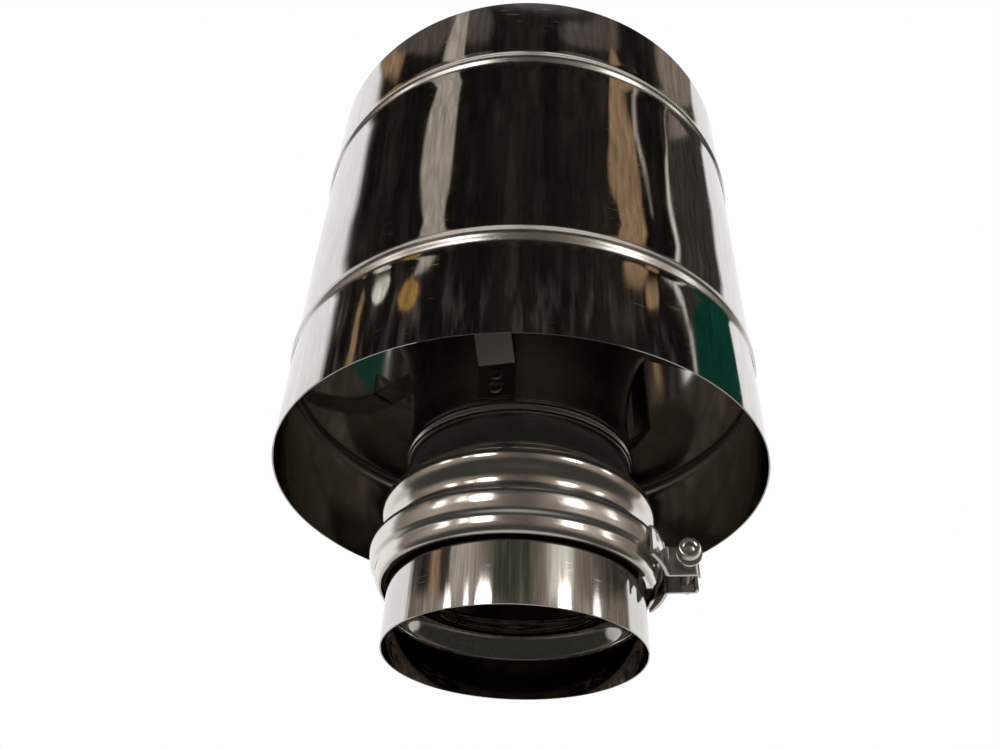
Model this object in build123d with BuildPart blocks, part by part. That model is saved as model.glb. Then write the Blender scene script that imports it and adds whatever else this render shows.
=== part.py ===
from build123d import *
import math
import os

# Wind-proof chimney deflector of polished stainless sheet, in millimetres.
# The flue axis is Z. The origin is the centre of the connector pipe's lower rim, with +Z up.
# Gas comes up through the connector, the inlet pipe and the widening diffuser, and leaves
# round the rain cap. Wind on the outer shell draws air up the gap between shell and diffuser.

os.makedirs("parts", exist_ok=True)

# Sheet thicknesses and fits
sheet = 0.6
shell_sheet = 0.7
strap = 1.2
turning_gap = 0.4
seat_gap = 0.05

# Connector pipe: its plain end is the spigot, its other end turns in the collar
flue_bore_r = 60.0
spigot_length = 30.0
stop_bead_width = 11.0
stop_bead_height = 4.8
connector_past_bead = 5.5

# Inlet pipe: the inner flue, with an inward bead above its mouth
inlet_r = 56.4
mouth_depth = 20.0
mouth_rise = 11.0
throat_drop = 2.4
throat_rise = 9.0

# Collar: socket for the connector, with the wide bead that holds the seal
lip_gap = 3.7
lip_flare = 7.3
collar_plain = 3.5
collar_bead_width = 24.0
collar_bead_height = 5.6
collar_sleeve = 13.0
seal_margin = 7.0

# Locking band
band_sheet = 1.0
ridge_gap = 0.6
step_depth = 1.1
step_rise = 3.5
band_margin = 0.7
band_edge_gap = 2.7
band_top_gap = 1.6
band_top_margin = 0.3

# Closure of the band, its screw partly backed out
closure_azimuth = -7.0
half_gap = 9.0
ear_sheet = 1.5
ear_height = 14.0
ear_base_length = 24.0
ear_reach = 15.0
ear_return = 3.2
ear_bend_r = 1.6
screw_reach = 10.0
screw_r = 3.0
screw_length = 35.0
screw_head_r = 5.0
screw_head_height = 6.0
screw_socket_flats = 5.0
screw_socket_depth = 3.2
screw_backed_out = 6.0
washer_r = 6.0
washer_thickness = 1.6
face_gap = 0.1
nut_flats = 10.0
nut_thickness = 5.0
thread_gap = 0.06
hole_gap = 0.35

# Diffuser: the inner pipe that widens upwards
neck_length = 3.0
neck_bead_width = 7.0
neck_bead_height = 1.6
diffuser_sleeve = 24.0
flare_height = 63.0
diffuser_mouth_r = 72.0

# Outer shell
shell_r = 124.3
shell_bottom = 86.6
shell_height = 245.4
lower_bead_inset = 57.4
upper_bead_inset = 53.8
shell_bead_width = 11.0
shell_bead_height = 1.2

# Rain cap and the cone under it
cap_r = 92.0
outlet_height = 47.0
cap_drip = 7.0
cap_rise = 34.0
cap_rim_round = 1.5
cone_hem = 4.0
cone_drop = 26.0

# Legs, arms and rivets
leg_names = ["front", "right", "left"]
first_leg_azimuth = -102.0
leg_width = 18.0
leg_foot = 19.0
leg_kick = 13.0
tab_inset = 2.0
bend_r = 1.5
arm_width = 16.0
arm_rise = 18.0
arm_tab = 16.0
rivet_r = 2.0
rivet_head_r = 3.6
rivet_head_height = 1.3
rivet_tail_r = 2.8
rivet_tail_height = 1.0
rivet_pitch = 8.0
cap_rivet_inset = 4.2

# Azimuths of the legs, evenly round the pipe
leg_azimuths = {}
for index, name in enumerate(leg_names):
    leg_azimuths[name] = first_leg_azimuth + index * 360 / len(leg_names)

# Radii that follow
connector_r = flue_bore_r + sheet
collar_r = connector_r + turning_gap + sheet
sleeve_r = inlet_r + seat_gap + sheet
lip_r = collar_r + lip_flare
lower_ridge_r = connector_r + stop_bead_height + ridge_gap + band_sheet
upper_ridge_r = lip_r + ridge_gap + band_sheet
ear_base_r = upper_ridge_r + seat_gap
screw_x = ear_base_r + screw_reach
shell_inner_r = shell_r - shell_sheet
cone_r = cap_r - sheet - seat_gap

# Levels that follow
stop_bead_z = spigot_length + stop_bead_width / 2
lip_z = stop_bead_z + stop_bead_width / 2 + lip_gap
collar_bead_z = lip_z + lip_flare + collar_plain + collar_bead_width / 2
connector_top = collar_bead_z + connector_past_bead
shoulder_z = collar_bead_z + collar_bead_width / 2
collar_top = shoulder_z + collar_sleeve
band_bottom = spigot_length - band_margin
band_top = lip_z + lip_flare + band_top_margin
upper_ridge_z = lip_z + band_sheet
ear_z = (stop_bead_z + upper_ridge_z) / 2
diffuser_bottom = collar_top + neck_length
neck_bead_z = diffuser_bottom + neck_bead_width / 2 + sheet
flare_z = diffuser_bottom + diffuser_sleeve
diffuser_top = flare_z + flare_height
inlet_top = flare_z + sheet
shell_top = shell_bottom + shell_height
shell_bead_levels = [shell_bottom + lower_bead_inset, shell_top - upper_bead_inset]
drip_z = diffuser_top + outlet_height
cap_rim_z = drip_z + cap_drip
cone_rim_z = drip_z + sheet
cone_tip_z = cone_rim_z - cone_drop
foot_z = neck_bead_z + neck_bead_width / 2 + sheet
arm_z = diffuser_top + arm_rise


def bead(radius, level, width, height):
    # Draw a smooth rolled bead on an upright wall line, from below to above
    low = level - width / 2
    high = level + width / 2
    crest = radius + height
    ease = width / 4
    Bezier((radius, low), (radius, low + ease), (crest, level - ease), (crest, level))
    Bezier((crest, level), (crest, level + ease), (radius, high - ease), (radius, high))


def pipe_line(radius, low, high, levels, width, height):
    # Draw an upright wall line with a bead at each level
    start = low
    for level in levels:
        Line((radius, start), (radius, level - width / 2))
        bead(radius, level, width, height)
        start = level + width / 2
    Line((radius, start), (radius, high))


def beaded_wall(radius, wall, low, high, levels, width, height):
    # Outline of a beaded pipe's wall, whose outer radius is given
    pipe_line(radius, low, high, levels, width, height)
    pipe_line(radius - wall, low, high, levels, width, height)
    Line((radius - wall, low), (radius, low))
    Line((radius - wall, high), (radius, high))


def direction(azimuth):
    # Unit vector that points outwards at an azimuth
    angle = math.radians(azimuth)
    return Vector(math.cos(angle), math.sin(angle), 0)


def radial_plane(azimuth):
    # Plane through the flue axis: its x runs outwards, its y runs up
    return Plane(origin=(0, 0, 0), x_dir=direction(azimuth), z_dir=direction(azimuth - 90))


def facing_plane(azimuth, level):
    # Plane on the flue axis whose normal points outwards: its y runs up
    return Plane(origin=(0, 0, level), x_dir=direction(azimuth + 90), z_dir=direction(azimuth))


def screw_plane(along):
    # Plane across the clamp screw, at a distance along it from the gap's middle to its head
    middle = screw_x * direction(closure_azimuth) + Vector(0, 0, ear_z)
    outwards = direction(closure_azimuth - 90)
    return Plane(origin=middle + along * outwards, x_dir=direction(closure_azimuth), z_dir=outwards)


def rivet(seat, grip):
    # Head on the seat plane, shank down through the grip, and tail under it
    with Locations(seat):
        Cone(
            rivet_head_r,
            rivet_head_r / 2,
            rivet_head_height,
            align=(Align.CENTER, Align.CENTER, Align.MIN),
        )
        Cylinder(rivet_r, grip, align=(Align.CENTER, Align.CENTER, Align.MAX))
    with Locations(seat.offset(-grip)):
        Cylinder(rivet_tail_r, rivet_tail_height, align=(Align.CENTER, Align.CENTER, Align.MAX))


def rivet_hole(seat, depth):
    # Hole for a rivet, from the seat plane down
    with Locations(seat):
        Cylinder(
            rivet_r + seat_gap,
            depth,
            align=(Align.CENTER, Align.CENTER, Align.MAX),
            mode=Mode.SUBTRACT,
        )


# Seats of the rivets
foot_levels = [foot_z + leg_foot / 2 - rivet_pitch / 2, foot_z + leg_foot / 2 + rivet_pitch / 2]
foot_seat_r = sleeve_r + seat_gap + strap
foot_grip = foot_seat_r - math.sqrt((inlet_r - sheet) ** 2 - rivet_tail_r**2) + seat_gap
leg_r = diffuser_mouth_r + seat_gap
arm_seat_r = leg_r + strap + seat_gap + strap
arm_rivet_z = arm_z + arm_tab / 2 + bend_r / 2
cone_angle = math.degrees(math.atan(cone_drop / cone_r))


def cone_underside(radius):
    # Level of the lower cone's outer face at a radius
    return cone_tip_z + cone_drop * radius / cone_r


def cap_rivet_seat(azimuth):
    # Plane of a cap rivet's head, on the lower face of a leg's tab
    radius = leg_r + strap + cap_rivet_inset
    down = direction(azimuth) * math.sin(math.radians(cone_angle))
    down = down - Vector(0, 0, math.cos(math.radians(cone_angle)))
    on_cone = radius * direction(azimuth) + Vector(0, 0, cone_underside(radius))
    return Plane(origin=on_cone + (strap + seat_gap) * down, x_dir=direction(azimuth + 90), z_dir=down)


# Connector pipe
with BuildPart() as connector_pipe:
    with BuildSketch(Plane.XZ):
        with BuildLine():
            beaded_wall(
                connector_r,
                sheet,
                0,
                connector_top,
                [stop_bead_z],
                stop_bead_width,
                stop_bead_height,
            )
        make_face()
    revolve(axis=Axis.Z)


# Inlet pipe
def inlet_line(inset):
    # Draw one face of the inlet pipe's wall, from its mouth up
    mouth_r = flue_bore_r - turning_gap - inset
    wall_r = inlet_r - inset
    throat_r = wall_r - throat_drop
    throat_z = mouth_depth + mouth_rise
    wall_z = throat_z + throat_rise
    Bezier(
        (mouth_r, mouth_depth),
        (mouth_r - sheet, mouth_depth + mouth_rise / 4),
        (throat_r, throat_z - mouth_rise / 3),
        (throat_r, throat_z),
    )
    Bezier(
        (throat_r, throat_z),
        (throat_r, throat_z + throat_rise / 2),
        (wall_r, wall_z - throat_rise / 2),
        (wall_r, wall_z),
    )
    Line((wall_r, wall_z), (wall_r, inlet_top))
    return (mouth_r, mouth_depth), (wall_r, inlet_top)


with BuildPart() as inlet_pipe:
    with BuildSketch(Plane.XZ):
        with BuildLine():
            outer_low, outer_high = inlet_line(0)
            inner_low, inner_high = inlet_line(sheet)
            Line(outer_low, inner_low)
            Line(outer_high, inner_high)
        make_face()
    revolve(axis=Axis.Z)
    for azimuth in leg_azimuths.values():
        for level in foot_levels:
            rivet_hole(facing_plane(azimuth, level).offset(foot_seat_r), foot_grip + sheet)


# Collar
def collar_line(inset):
    # Draw one face of the collar's wall: lip, bead, and the bead's upper flank in to the neck
    wall_r = collar_r - inset
    top_r = sleeve_r - inset
    crest = wall_r + collar_bead_height
    low = collar_bead_z - collar_bead_width / 2
    ease = collar_bead_width / 4
    Line((wall_r + lip_flare, lip_z), (wall_r, lip_z + lip_flare))
    Line((wall_r, lip_z + lip_flare), (wall_r, low))
    Bezier((wall_r, low), (wall_r, low + ease), (crest, collar_bead_z - ease), (crest, collar_bead_z))
    Bezier(
        (crest, collar_bead_z),
        (crest, collar_bead_z + ease),
        (top_r, shoulder_z - ease),
        (top_r, shoulder_z),
    )
    Line((top_r, shoulder_z), (top_r, collar_top))
    return (wall_r + lip_flare, lip_z), (top_r, collar_top)


with BuildPart() as socket_collar:
    with BuildSketch(Plane.XZ):
        with BuildLine():
            outer_low, outer_high = collar_line(0)
            inner_low, inner_high = collar_line(sheet)
            Line(outer_low, inner_low)
            Line(outer_high, inner_high)
        make_face()
    revolve(axis=Axis.Z)

# Seal in the collar's bead, round the connector
with BuildPart() as seal_ring:
    with BuildSketch(Plane.XZ):
        with BuildLine():
            seal_r = connector_r + turning_gap
            seal_width = collar_bead_width - 2 * seal_margin
            bead(seal_r, collar_bead_z, seal_width, collar_bead_height - sheet)
            Line((seal_r, collar_bead_z - seal_width / 2), (seal_r, collar_bead_z + seal_width / 2))
        make_face()
    revolve(axis=Axis.Z)

# Diffuser
with BuildPart() as diffuser:
    with BuildSketch(Plane.XZ):
        with BuildLine():
            for inset in (0, sheet):
                wall_r = sleeve_r - inset
                rim = (diffuser_mouth_r - inset, diffuser_top)
                pipe_line(
                    wall_r, diffuser_bottom, flare_z, [neck_bead_z], neck_bead_width, neck_bead_height
                )
                TangentArc((wall_r, flare_z), rim, tangent=(0, 1))
            Line((sleeve_r - sheet, diffuser_bottom), (sleeve_r, diffuser_bottom))
            Line((diffuser_mouth_r - sheet, diffuser_top), (diffuser_mouth_r, diffuser_top))
        make_face()
    revolve(axis=Axis.Z)
    for azimuth in leg_azimuths.values():
        for level in foot_levels:
            rivet_hole(facing_plane(azimuth, level).offset(foot_seat_r), foot_grip)

# Outer shell
with BuildPart() as outer_shell:
    with BuildSketch(Plane.XZ):
        with BuildLine():
            beaded_wall(
                shell_r,
                shell_sheet,
                shell_bottom,
                shell_top,
                shell_bead_levels,
                shell_bead_width,
                shell_bead_height,
            )
        make_face()
    revolve(axis=Axis.Z)

# Rain cap, a shallow cone with a drip edge
with BuildPart() as rain_cap:
    with BuildSketch(Plane.XZ):
        apex_z = cap_rim_z + cap_rise
        slant = sheet / math.cos(math.atan(cap_rise / cap_r))
        inside_z = cap_rim_z - slant + sheet * cap_rise / cap_r
        with BuildLine():
            Polyline(
                (cap_r, drip_z),
                (cap_r, cap_rim_z),
                (0, apex_z),
                (0, apex_z - slant),
                (cap_r - sheet, inside_z),
                (cap_r - sheet, drip_z),
                close=True,
            )
        make_face()
        outside_corner = vertices().sort_by_distance((cap_r, cap_rim_z))[0]
        fillet(outside_corner, radius=cap_rim_round + sheet)
        inside_corner = vertices().sort_by_distance((cap_r - sheet, inside_z))[0]
        fillet(inside_corner, radius=cap_rim_round)
    revolve(axis=Axis.Z)

# Cone under the rain cap, whose hem stands inside the cap's drip edge
with BuildPart() as cap_under_cone:
    with BuildSketch(Plane.XZ):
        slant = sheet / math.cos(math.radians(cone_angle))
        inside_z = cone_rim_z + slant - sheet * cone_drop / cone_r
        with BuildLine():
            Polyline(
                (cone_r, cone_rim_z + cone_hem),
                (cone_r, cone_rim_z),
                (0, cone_tip_z),
                (0, cone_tip_z + slant),
                (cone_r - sheet, inside_z),
                (cone_r - sheet, cone_rim_z + cone_hem),
                close=True,
            )
        make_face()
    revolve(axis=Axis.Z)
    for azimuth in leg_azimuths.values():
        rivet_hole(cap_rivet_seat(azimuth), 2 * strap + sheet)

# Locking band, open at its closure
gap_angle = math.degrees(math.asin(half_gap / upper_ridge_r))


def band_line(inset):
    # Draw one face of the band's wall: a lower ridge, a step out and an upper ridge
    edge_r = connector_r + band_edge_gap + band_sheet - inset
    low_r = lower_ridge_r - inset
    high_r = upper_ridge_r - inset
    step_r = high_r - step_depth
    step_z = stop_bead_z + step_rise
    top_r = collar_r + band_top_gap + band_sheet - inset
    edge_rise = stop_bead_z - band_bottom
    step_ease = step_rise * 2 / 5
    high_rise = upper_ridge_z - step_z
    high_ease = (band_top - upper_ridge_z) / 2
    Bezier(
        (edge_r, band_bottom),
        (edge_r + edge_rise / 4, band_bottom + edge_rise / 6),
        (low_r, stop_bead_z - edge_rise / 2),
        (low_r, stop_bead_z),
    )
    Bezier(
        (low_r, stop_bead_z),
        (low_r, stop_bead_z + step_ease),
        (step_r - step_ease / 4, step_z - step_ease),
        (step_r, step_z),
    )
    Bezier(
        (step_r, step_z),
        (step_r + high_rise / 16, step_z + high_rise / 4),
        (high_r, upper_ridge_z - high_rise * 3 / 5),
        (high_r, upper_ridge_z),
    )
    Bezier(
        (high_r, upper_ridge_z),
        (high_r, upper_ridge_z + high_ease),
        (top_r + high_ease / 2, band_top - high_ease / 2),
        (top_r, band_top),
    )
    return (edge_r, band_bottom), (top_r, band_top)


with BuildPart() as clamp_band:
    with BuildSketch(radial_plane(closure_azimuth + gap_angle)):
        with BuildLine():
            outer_low, outer_high = band_line(0)
            inner_low, inner_high = band_line(band_sheet)
            Line(outer_low, inner_low)
            Line(outer_high, inner_high)
        make_face()
    revolve(axis=Axis.Z, revolution_arc=360 - 2 * gap_angle)

# Ears at the band's ends: a base along the band, a plate across the screw and a return
ear_floor = Plane(origin=(0, 0, ear_z - ear_height / 2), x_dir=direction(closure_azimuth), z_dir=(0, 0, 1))
clamp_ears = {}
for name, side in (("front", -1), ("rear", 1)):
    base_r = ear_base_r + ear_sheet / 2
    plate_y = half_gap + ear_sheet / 2
    root_angle = math.degrees(math.asin(plate_y / base_r))
    base_angle = math.degrees(ear_base_length / base_r)
    end_x = ear_base_r + ear_reach - ear_sheet / 2
    with BuildPart() as clamp_ear:
        with BuildSketch(ear_floor):
            with BuildLine():
                base = CenterArc((0, 0), base_r, side * root_angle, side * base_angle)
                plate = Line(base @ 0, (end_x, side * plate_y))
                Line(plate @ 1, (end_x, side * (plate_y - ear_return)))
                fillet(vertices(), radius=ear_bend_r)
            trace(line_width=ear_sheet)
        extrude(amount=ear_height)
        with BuildSketch(screw_plane(half_gap + 2 * ear_sheet)):
            Circle(screw_r + hole_gap)
        extrude(amount=-2 * half_gap - 4 * ear_sheet, mode=Mode.SUBTRACT)
    clamp_ears[name] = clamp_ear.part

# Screw, washer and nut of the closure
washer_seat = half_gap + ear_sheet + screw_backed_out
head_seat = washer_seat + washer_thickness + face_gap
nut_seat = -half_gap - ear_sheet - seat_gap

with BuildPart() as clamp_screw:
    with BuildSketch(screw_plane(head_seat)):
        Circle(screw_head_r)
    extrude(amount=screw_head_height)
    with BuildSketch(screw_plane(head_seat)):
        Circle(screw_r)
    extrude(amount=-screw_length)
    with BuildSketch(screw_plane(head_seat + screw_head_height)):
        RegularPolygon(screw_socket_flats / 2, 6, major_radius=False)
    extrude(amount=-screw_socket_depth, mode=Mode.SUBTRACT)

with BuildPart() as clamp_washer:
    with BuildSketch(screw_plane(washer_seat)):
        Circle(washer_r)
        Circle(screw_r + hole_gap / 2, mode=Mode.SUBTRACT)
    extrude(amount=washer_thickness)

with BuildPart() as clamp_nut:
    with BuildSketch(screw_plane(nut_seat)):
        RegularPolygon(nut_flats / 2, 6, major_radius=False, rotation=30)
        Circle(screw_r + thread_gap, mode=Mode.SUBTRACT)
    extrude(amount=-nut_thickness)

# Legs, from the diffuser's sleeve past its rim up to the cap
cap_legs = {}
for name, azimuth in leg_azimuths.items():
    foot_r = sleeve_r + seat_gap + strap / 2
    upright_r = leg_r + strap / 2
    tab_r = cone_r - tab_inset
    tab_drop = (strap / 2 + seat_gap) / math.cos(math.radians(cone_angle))
    with BuildPart() as cap_leg:
        with BuildSketch(radial_plane(azimuth)):
            with BuildLine():
                FilletPolyline(
                    (foot_r, foot_z),
                    (foot_r, foot_z + leg_foot),
                    (upright_r, foot_z + leg_foot + leg_kick),
                    (upright_r, cone_underside(upright_r) - tab_drop),
                    (tab_r, cone_underside(tab_r) - tab_drop),
                    radius=bend_r,
                )
            trace(line_width=strap)
        extrude(amount=leg_width / 2, both=True)
        for level in foot_levels:
            rivet_hole(facing_plane(azimuth, level).offset(foot_seat_r), foot_grip)
        rivet_hole(facing_plane(azimuth, arm_rivet_z).offset(arm_seat_r), 3 * strap)
        rivet_hole(cap_rivet_seat(azimuth), 2 * strap)
    cap_legs[name] = cap_leg.part

# Arms, from the legs out to the shell
shell_arms = {}
for name, azimuth in leg_azimuths.items():
    inner_tab_r = leg_r + strap + seat_gap + strap / 2
    outer_tab_r = math.sqrt(shell_inner_r**2 - (arm_width / 2) ** 2) - seat_gap - strap / 2
    with BuildPart() as shell_arm:
        with BuildSketch(radial_plane(azimuth)):
            with BuildLine():
                FilletPolyline(
                    (inner_tab_r, arm_z + arm_tab),
                    (inner_tab_r, arm_z),
                    (outer_tab_r, arm_z),
                    (outer_tab_r, arm_z + arm_tab),
                    radius=bend_r,
                )
            trace(line_width=strap)
        extrude(amount=arm_width / 2, both=True)
        rivet_hole(facing_plane(azimuth, arm_rivet_z).offset(arm_seat_r), 2 * strap)
    shell_arms[name] = shell_arm.part

# Rivets, a group at each place
with BuildPart() as foot_rivets:
    for azimuth in leg_azimuths.values():
        for level in foot_levels:
            rivet(facing_plane(azimuth, level).offset(foot_seat_r), foot_grip)

with BuildPart() as arm_rivets:
    for azimuth in leg_azimuths.values():
        rivet(facing_plane(azimuth, arm_rivet_z).offset(arm_seat_r), arm_seat_r - leg_r)

with BuildPart() as cap_rivets:
    for azimuth in leg_azimuths.values():
        rivet(cap_rivet_seat(azimuth), strap + 2 * seat_gap + sheet)

# Export, one file for each sub-part
pieces = {
    "connector_pipe": connector_pipe.part,
    "inlet_pipe": inlet_pipe.part,
    "socket_collar": socket_collar.part,
    "seal_ring": seal_ring.part,
    "diffuser": diffuser.part,
    "outer_shell": outer_shell.part,
    "rain_cap": rain_cap.part,
    "cap_under_cone": cap_under_cone.part,
    "clamp_band": clamp_band.part,
    "clamp_screw": clamp_screw.part,
    "clamp_washer": clamp_washer.part,
    "clamp_nut": clamp_nut.part,
    "foot_rivets": foot_rivets.part,
    "arm_rivets": arm_rivets.part,
    "cap_rivets": cap_rivets.part,
}
for name in leg_azimuths:
    pieces["leg_" + name] = cap_legs[name]
    pieces["shell_arm_" + name] = shell_arms[name]
for name in clamp_ears:
    pieces["clamp_ear_" + name] = clamp_ears[name]
for name, piece in pieces.items():
    piece.label = name
    export_step(piece, "parts/" + name + ".step")
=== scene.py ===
import math

import bmesh
import bpy
import numpy as np
from mathutils import Matrix, Vector


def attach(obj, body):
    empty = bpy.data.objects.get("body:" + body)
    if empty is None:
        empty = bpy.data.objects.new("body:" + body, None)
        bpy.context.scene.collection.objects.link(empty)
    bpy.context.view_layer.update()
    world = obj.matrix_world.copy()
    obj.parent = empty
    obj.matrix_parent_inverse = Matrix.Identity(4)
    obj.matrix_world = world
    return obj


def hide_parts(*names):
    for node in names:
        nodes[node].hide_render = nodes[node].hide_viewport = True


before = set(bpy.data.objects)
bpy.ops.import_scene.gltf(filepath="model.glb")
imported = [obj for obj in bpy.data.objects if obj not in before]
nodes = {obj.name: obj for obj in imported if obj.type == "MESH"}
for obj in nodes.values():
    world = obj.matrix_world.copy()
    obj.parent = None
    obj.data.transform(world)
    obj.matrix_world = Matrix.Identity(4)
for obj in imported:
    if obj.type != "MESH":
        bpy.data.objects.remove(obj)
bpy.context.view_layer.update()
mm = 0.001
print("frame loaded:", len(nodes), "nodes")


# Shapes

def bezier(points, steps):
    # cubic curve: the four points weighted by (1-t)^3, 3t(1-t)^2, 3t^2(1-t) and t^3
    t = np.linspace(0, 1, steps)[:, None]
    a, b, c, d = np.array(points, float)
    return (1 - t) ** 3 * a + 3 * t * (1 - t) ** 2 * b + 3 * t ** 2 * (1 - t) * c + t ** 3 * d


def straight(start, end, steps=2):
    # points at even steps from start to end
    t = np.linspace(0, 1, steps)[:, None]
    return np.array(start, float) * (1 - t) + np.array(end, float) * t


def joined(*lines):
    # one line after another, without the points that repeat
    line = np.concatenate(lines)
    keep = np.ones(len(line), bool)
    keep[1:] = np.abs(np.diff(line, axis=0)).max(axis=1) > 1e-4
    return line[keep]


def beadLine(radius, level, width, height, steps=10):
    # rolled bead: two curves that leave the wall upright and meet upright at the crest
    low, high, crest, ease = level - width / 2, level + width / 2, radius + height, width / 4
    return joined(
        bezier([(radius, low), (radius, low + ease), (crest, level - ease), (crest, level)], steps),
        bezier([(crest, level), (crest, level + ease), (radius, high - ease), (radius, high)], steps),
    )


def beadedLine(radius, low, high, beads, rows=14):
    # upright wall from low to high, with each bead of the list (level, width, height) on its way
    parts, start = [], low
    for level, width, height in beads:
        parts += [straight((radius, start), (radius, level - width / 2), rows)]
        parts += [beadLine(radius, level, width, height)]
        start = level + width / 2
    return joined(*parts, straight((radius, start), (radius, high), rows))


def wallLoop(line, wall, edge=0.12):
    # closed outline of a sheet: the outer line up and the same line, moved inwards by the wall, down,
    # with both ends of the sheet eased by a small chamfer
    inner = line - (wall, 0)
    outerLow, outerHigh = line[0] + (-edge, 0), line[-1] + (-edge, 0)
    outer = np.array(line)
    inner = inner[::-1].copy()
    up = np.sign(line[-1][1] - line[0][1])
    outer[0], outer[-1] = line[0] + (0, up * edge), line[-1] - (0, up * edge)
    innerHigh, innerLow = inner[0] + (edge, 0), inner[-1] + (edge, 0)
    inner[0], inner[-1] = inner[0] - (0, up * edge), inner[-1] + (0, up * edge)
    return np.concatenate([[outerLow], outer, [outerHigh, innerHigh], inner, [innerLow]])


def wave(angle, height, amount, seed):
    # slow unevenness of rolled sheet: four sine waves round the wall times slow sine waves up it
    rng = np.random.default_rng(seed)
    total = np.zeros(np.broadcast(angle, height).shape)
    for count in (2, 3, 5, 8):
        turn, rise, lean = rng.uniform(0, 2 * np.pi, 3)
        around = np.sin(count * angle + turn + lean * height / 90)
        total += around * np.sin(height / (22 + 9 * count) + rise) / count
    return amount * total


def lathe(loop, segments=256, amount=0.0, seed=1, start=0.0, sweep=2 * np.pi):
    # outline point (radius, height) at angle a goes to (radius cos a, radius sin a, height)
    whole = sweep > 6.28
    angle = start + np.linspace(0, sweep, segments + (not whole), endpoint=not whole)[None, :]
    height = np.repeat(loop[:, 1:2], angle.shape[1], axis=1)
    radius = loop[:, :1] + wave(angle, height, amount, seed)
    return np.stack([radius * np.cos(angle), radius * np.sin(angle), height], -1)


def gridFaces(rows, columns, wrapRows, wrapColumns, first=0):
    # four-sided faces between neighbouring points of a grid
    i = np.arange(rows if wrapRows else rows - 1)[:, None]
    j = np.arange(columns if wrapColumns else columns - 1)[None, :]
    k, l = (i + 1) % rows, (j + 1) % columns
    quad = np.stack([i * columns + j, i * columns + l, k * columns + l, k * columns + j], -1)
    return quad.reshape(-1, 4) + first


def endFaces(rows, columns, first=0):
    # both ends of an open sweep of a sheet's outline: faces from each outer point to the inner one across it
    i = np.arange(rows // 2 - 1)
    across = np.stack([i, i + 1, rows - 2 - i, rows - 1 - i], -1) * columns
    return np.concatenate([across, across[:, ::-1] + columns - 1]) + first


def meshPiece(name, grids, body, wrapRows=True, wrapColumns=True, sharp=32, replaces=(), capEnds=False):
    # grids of points in millimetres become one mesh in metres, smooth but for edges over the sharp angle
    points, faces, first = [], [], 0
    for grid in grids:
        rows, columns = grid.shape[:2]
        faces.append(gridFaces(rows, columns, wrapRows, wrapColumns, first))
        if capEnds:
            faces.append(endFaces(rows, columns, first))
        points.append(grid.reshape(-1, 3))
        first += rows * columns
    mesh = bpy.data.meshes.new(name)
    mesh.from_pydata((np.concatenate(points) * mm).tolist(), [], np.concatenate(faces).tolist())
    work = bmesh.new()
    work.from_mesh(mesh)
    bmesh.ops.remove_doubles(work, verts=work.verts, dist=1e-7)
    bmesh.ops.recalc_face_normals(work, faces=work.faces)
    work.to_mesh(mesh)
    work.free()
    mesh.shade_smooth()
    mesh.set_sharp_from_angle(angle=math.radians(sharp))
    piece = bpy.data.objects.new(name, mesh)
    bpy.context.scene.collection.objects.link(piece)
    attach(piece, body)
    if replaces:
        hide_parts(*replaces)
    return piece


def direction(azimuth):
    # unit vector outwards at an azimuth in degrees
    return np.array([math.cos(math.radians(azimuth)), math.sin(math.radians(azimuth)), 0.0])


def placed(points, origin, xAxis, yAxis, zAxis):
    # points of a piece's own frame, moved to its place: origin + x times xAxis + y times yAxis + z times zAxis
    return np.array(origin, float) + points @ np.array([xAxis, yAxis, zAxis], float)


# Node groups and materials

def newGroup(name, inputs, outputs):
    group = bpy.data.node_groups.new(name, "ShaderNodeTree")
    for label, kind, value in inputs:
        socket = group.interface.new_socket(label, in_out="INPUT", socket_type=kind)
        if value is not None:
            socket.default_value = value
    for label, kind in outputs:
        group.interface.new_socket(label, in_out="OUTPUT", socket_type=kind)
    start, end = group.nodes.new("NodeGroupInput"), group.nodes.new("NodeGroupOutput")
    return group, start, end


def math2(tree, operation, a, b=None, clamp=False):
    # a Math node whose inputs are sockets or numbers
    node = tree.nodes.new("ShaderNodeMath")
    node.operation, node.use_clamp = operation, clamp
    for socket, value in zip(node.inputs, (a, b)):
        if value is None:
            continue
        if isinstance(value, (int, float)):
            socket.default_value = value
        else:
            tree.links.new(value, socket)
    return node.outputs[0]


def noise(tree, vector, scale, detail=2.0, roughness=0.5):
    node = tree.nodes.new("ShaderNodeTexNoise")
    node.inputs["Scale"].default_value = scale
    node.inputs["Detail"].default_value = detail
    node.inputs["Roughness"].default_value = roughness
    tree.links.new(vector, node.inputs["Vector"])
    return node.outputs["Fac"]


def mapped(tree, vector, scale):
    node = tree.nodes.new("ShaderNodeMapping")
    node.inputs["Scale"].default_value = scale
    tree.links.new(vector, node.inputs["Vector"])
    return node.outputs["Vector"]


def ranged(tree, value, low, high, newLow, newHigh):
    node = tree.nodes.new("ShaderNodeMapRange")
    for socket, number in zip(list(node.inputs)[1:5], (low, high, newLow, newHigh)):
        if isinstance(number, (int, float)):
            socket.default_value = number
        else:
            tree.links.new(number, socket)
    tree.links.new(value, node.inputs[0])
    return node.outputs[0]


def mixedColour(tree, factor, a, b, blend="MIX"):
    node = tree.nodes.new("ShaderNodeMix")
    node.data_type, node.blend_type = "RGBA", blend
    for socket, value in ((node.inputs[0], factor), (node.inputs[6], a), (node.inputs[7], b)):
        if isinstance(value, (int, float, tuple)):
            socket.default_value = value
        else:
            tree.links.new(value, socket)
    return node.outputs[2]


def scaled(tree, colour, factor):
    node = tree.nodes.new("ShaderNodeVectorMath")
    node.operation = "SCALE"
    tree.links.new(colour, node.inputs[0])
    tree.links.new(factor, node.inputs["Scale"])
    return node.outputs["Vector"]


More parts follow.
